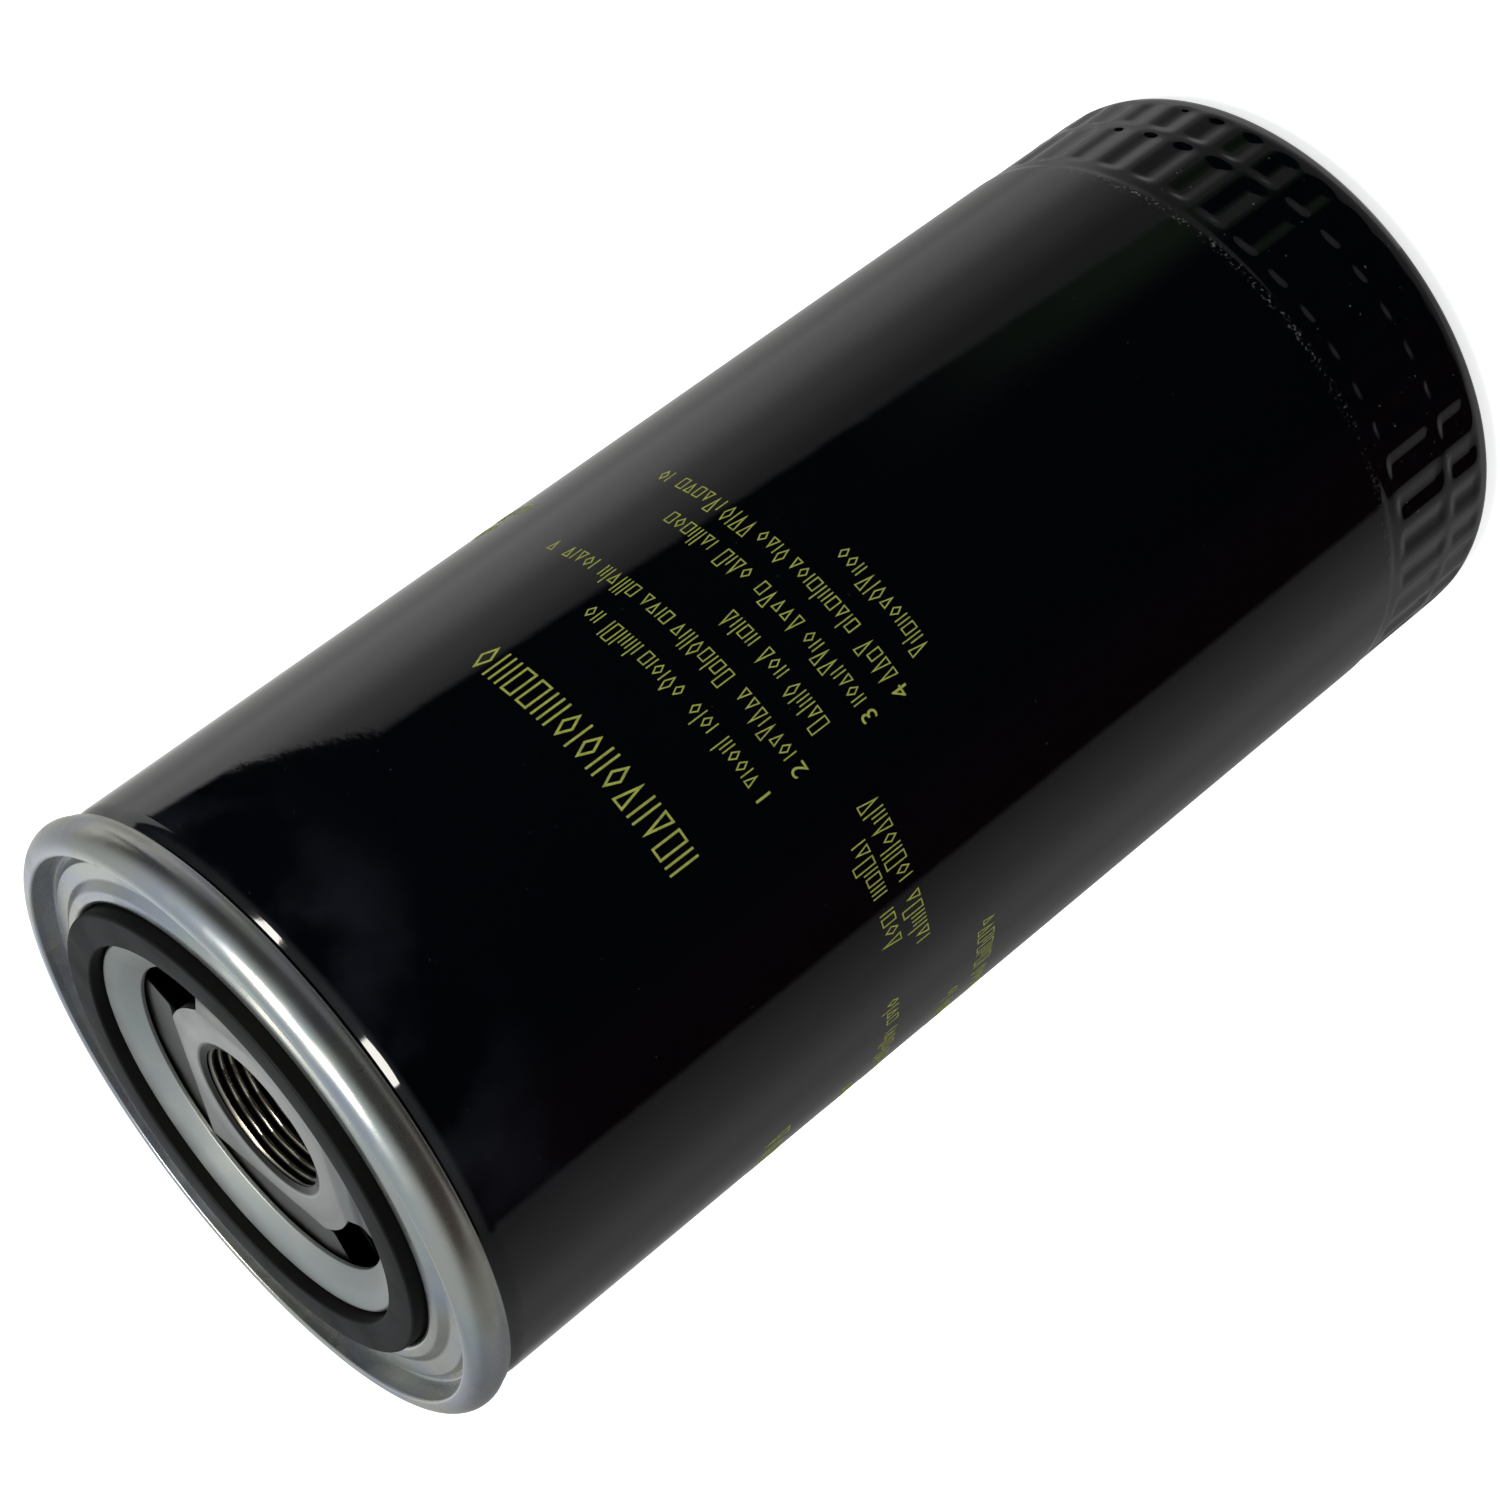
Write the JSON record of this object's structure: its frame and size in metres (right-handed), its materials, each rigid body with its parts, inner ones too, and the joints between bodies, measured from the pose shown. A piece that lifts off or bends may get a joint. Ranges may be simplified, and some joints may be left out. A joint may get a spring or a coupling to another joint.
{
  "type": "oil filter",
  "caption": "Spin-on oil filter: painted can with fluted closed end, rolled seam, flat sealing gasket, threaded plate, pleated element, bypass and anti-drain valves.",
  "frame": {"origin": "middle of the foot ring of the closed end, which the filter stands on", "axes": "+Z along the filter's axis towards the threaded end; +X through both oil inlets of the base plate"},
  "size_m": [0.0974, 0.0974, 0.21],
  "materials": {
    "black_paint": "high gloss black stove enamel",
    "zinc_plate": "bright zinc plating with a faint iridescent film",
    "plate_steel": "bare pressed steel, lightly oiled",
    "black_rubber": "matt moulded nitrile",
    "valve_rubber": "matt moulded nitrile",
    "seam_compound": "cured sealing compound",
    "tinplate": "thin tinned sheet",
    "plastisol": "cured adhesive",
    "filter_paper": "resin-treated pleated paper",
    "valve_steel": "pressed steel",
    "spring_steel": "drawn spring wire"
  },
  "bodies": {
    "can": {"can_body": "black_paint", "seaming_lid": "zinc_plate", "base_plate": "plate_steel", "sealing_gasket": "black_rubber", "seam_compound": "seam_compound", "spring_cup": "tinplate", "support_spring": "spring_steel"},
    "anti_drain": {"anti_drain_valve": "valve_rubber"},
    "element": {"element_seal": "black_rubber", "element_top_cap": "tinplate", "element_bottom_cap": "tinplate", "top_potting": "plastisol", "bottom_potting": "plastisol", "pleated_media": "filter_paper", "media_seam_clip": "tinplate", "centre_tube": "tinplate", "bypass_body": "valve_steel", "bypass_seal": "black_rubber", "bypass_retainer": "valve_steel", "bypass_spring": "spring_steel"},
    "bypass": {"bypass_disc": "valve_steel"}
  },
  "joints": [
    {"name": "anti_drain_open", "type": "slide", "parent": "can", "child": "anti_drain", "axis": [0, 0, -1], "range_m": [0, 0.0015], "stiffness_N_per_m": 400, "springref_m": -0.003},
    {"name": "element_float", "type": "slide", "parent": "can", "child": "element", "axis": [0, 0, -1], "range_m": [0, 0.0015], "stiffness_N_per_m": 6000, "springref_m": -0.01, "deforming": ["support_spring"]},
    {"name": "bypass_lift", "type": "slide", "parent": "element", "child": "bypass", "axis": [0, 0, 1], "range_m": [0, 0.004], "stiffness_N_per_m": 600, "springref_m": -0.02, "deforming": ["bypass_spring"]}
  ]
}
